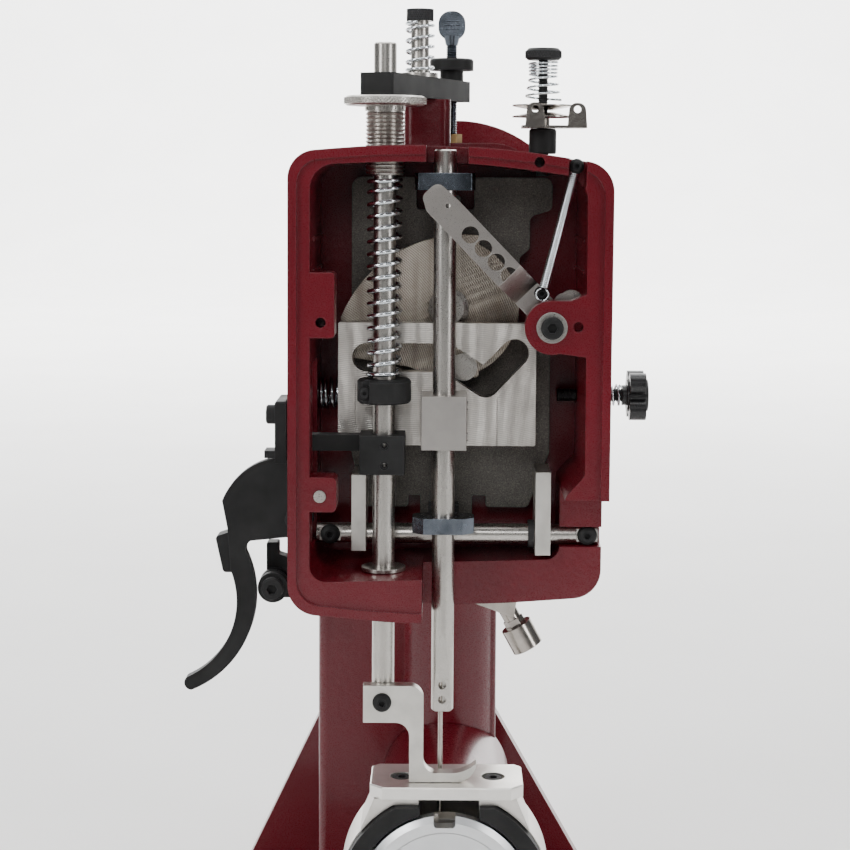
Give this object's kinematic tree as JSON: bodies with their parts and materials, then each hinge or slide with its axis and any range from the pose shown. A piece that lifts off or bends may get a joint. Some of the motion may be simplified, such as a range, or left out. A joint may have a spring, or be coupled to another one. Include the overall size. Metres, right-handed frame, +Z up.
{
  "type": "leather stitcher",
  "caption": "Hand-operated cylinder-arm stitcher for heavy leather with its face cover off: head casting, needle and presser bars, take-up lever, lifter lever, column and base.",
  "frame": {"origin": "underside of the base, straight below the needle bar axis", "axes": "+Z up, +X to the operator's right, +Y back from the operator"},
  "size_m": [0.2716, 0.5712, 0.6294],
  "materials": {
    "red_paint": "gloss orange-peel paint",
    "ground_steel": "ground bar",
    "milled_steel": "bright milled",
    "black_oxide": "black oxide",
    "zinc_spring": "bright zinc wire",
    "zinc_guide": "bluish zinc",
    "nickel": "nickel plate",
    "brass": "turned",
    "cast_grey": "sand cast",
    "black_plastic": "moulded",
    "rubber": "moulded",
    "silver_cover": "satin"
  },
  "bodies": {
    "frame": {"base_plate": "red_paint", "frame_casting": "red_paint", "rear_cover": "red_paint", "head_housing": "red_paint", "cylinder_arm": "red_paint", "arm_end_casing": "milled_steel", "race_ring": "black_oxide", "bobbin_cover": "silver_cover", "needle_plate": "milled_steel", "needle_plate_screws": "black_oxide", "feed_rod": "ground_steel", "head_screws": "black_oxide", "head_pins": "ground_steel", "presser_spring": "zinc_spring", "bushes": "ground_steel", "take_up_spring": "zinc_spring", "lifter_fittings": "black_oxide", "top_bar": "black_oxide", "shoulder_bolt": "ground_steel", "shoulder_spring": "zinc_spring", "thumb_bush": "black_oxide", "brass_nut": "brass", "tension_stem": "black_oxide", "tension_guide": "nickel", "tension_discs": "nickel", "tension_spring": "zinc_spring", "feed_springs": "zinc_spring", "thread_cup": "nickel"},
    "hand_lever": {"hand_lever": "black_oxide", "lever_shaft": "ground_steel", "lever_grip": "black_plastic"},
    "main_shaft": {"main_shaft": "ground_steel", "drive_cam": "milled_steel", "crank_pin": "ground_steel"},
    "upright_shaft": {"upright_shaft": "ground_steel"},
    "lower_shaft": {"lower_shaft": "ground_steel", "shuttle_hook": "milled_steel"},
    "bobbin": {"bobbin": "milled_steel"},
    "feed": {"feed_cradle": "cast_grey", "feed_bars": "milled_steel", "bar_guides": "zinc_guide", "feed_bumper": "rubber"},
    "needle_bar": {"needle_bar": "ground_steel", "needle": "nickel", "clamp_block": "milled_steel", "cam_plate": "milled_steel"},
    "take_up": {"take_up_lever": "milled_steel", "take_up_roller": "ground_steel", "spring_lever_screw": "black_oxide"},
    "presser": {"presser_bar": "ground_steel", "presser_collar": "black_oxide", "presser_screws": "black_oxide", "lift_bracket": "black_oxide", "slide_strap": "black_oxide", "presser_foot": "milled_steel"},
    "lifter": {"lifter_lever": "black_oxide"},
    "pressure_adjuster": {"pressure_adjuster": "ground_steel"},
    "thumb_screw": {"thumb_screw": "zinc_guide"},
    "tension_knob": {"tension_knob": "black_oxide"},
    "stitch_knob": {"stitch_knob": "black_plastic"}
  },
  "joints": [
    {"name": "lever_swing", "type": "hinge", "parent": "frame", "child": "hand_lever", "pos_m": [0.1, 0.274, 0.4529], "axis": [1, 0, 0], "range_deg": [0, 75]},
    {"name": "main_shaft_turn", "type": "hinge", "parent": "frame", "child": "main_shaft", "pos_m": [0.0022, 0.1, 0.4529], "axis": [0, 1, 0], "range_deg": [0, 181]},
    {"name": "upright_shaft_turn", "type": "hinge", "parent": "frame", "child": "upright_shaft", "pos_m": [0.0022, 0.225, 0.3], "axis": [0, 0, 1], "range_deg": [-181, 0]},
    {"name": "lower_shaft_turn", "type": "hinge", "parent": "frame", "child": "lower_shaft", "pos_m": [0.0022, 0.1, 0.12], "axis": [0, 1, 0], "range_deg": [-181, 0]},
    {"name": "bobbin_spin", "type": "hinge", "parent": "frame", "child": "bobbin", "pos_m": [0.0022, -0.009, 0.12], "axis": [0, 1, 0], "continuous": true},
    {"name": "feed_slide", "type": "slide", "parent": "frame", "child": "feed", "axis": [1, 0, 0], "range_m": [-0.003, 0.003], "stiffness_N_per_m": 1500},
    {"name": "needle_bar_slide", "type": "slide", "parent": "feed", "child": "needle_bar", "axis": [0, 0, 1], "range_m": [0, 0.066]},
    {"name": "take_up_swing", "type": "hinge", "parent": "frame", "child": "take_up", "pos_m": [0.0594, -0.02, 0.4466], "axis": [0, 1, 0], "range_deg": [-35, 0], "deforming": ["take_up_spring"]},
    {"name": "presser_slide", "type": "slide", "parent": "frame", "child": "presser", "axis": [0, 0, 1], "range_m": [0, 0.0075], "deforming": ["presser_spring"]},
    {"name": "lifter_swing", "type": "hinge", "parent": "frame", "child": "lifter", "pos_m": [-0.086, 0.022, 0.331], "axis": [0, 1, 0], "range_deg": [0, 60]},
    {"name": "pressure_adjuster_turn", "type": "hinge", "parent": "frame", "child": "pressure_adjuster", "pos_m": [-0.034, 0, 0.571], "axis": [0, 0, 1], "continuous": true},
    {"name": "thumb_screw_turn", "type": "hinge", "parent": "frame", "child": "thumb_screw", "pos_m": [0.0032, 0.09, 0.6], "axis": [0, 0, 1], "continuous": true},
    {"name": "tension_knob_turn", "type": "hinge", "parent": "frame", "child": "tension_knob", "pos_m": [0.055, 0.01, 0.598], "axis": [0, 0, 1], "continuous": true},
    {"name": "stitch_knob_turn", "type": "hinge", "parent": "frame", "child": "stitch_knob", "pos_m": [0.112, 0.05, 0.4002], "axis": [1, 0, 0], "continuous": true}
  ],
  "couplings": [
    {"joint": "main_shaft_turn", "follows": "lever_swing", "ratio": 2.4},
    {"joint": "upright_shaft_turn", "follows": "lever_swing", "ratio": -2.4},
    {"joint": "lower_shaft_turn", "follows": "lever_swing", "ratio": -2.4},
    {"joint": "needle_bar_slide", "follows": "lever_swing", "m_per_rad": 0.04966},
    {"joint": "take_up_swing", "follows": "lever_swing", "ratio": -0.45},
    {"joint": "presser_slide", "follows": "lifter_swing", "m_per_rad": 0.0068}
  ]
}
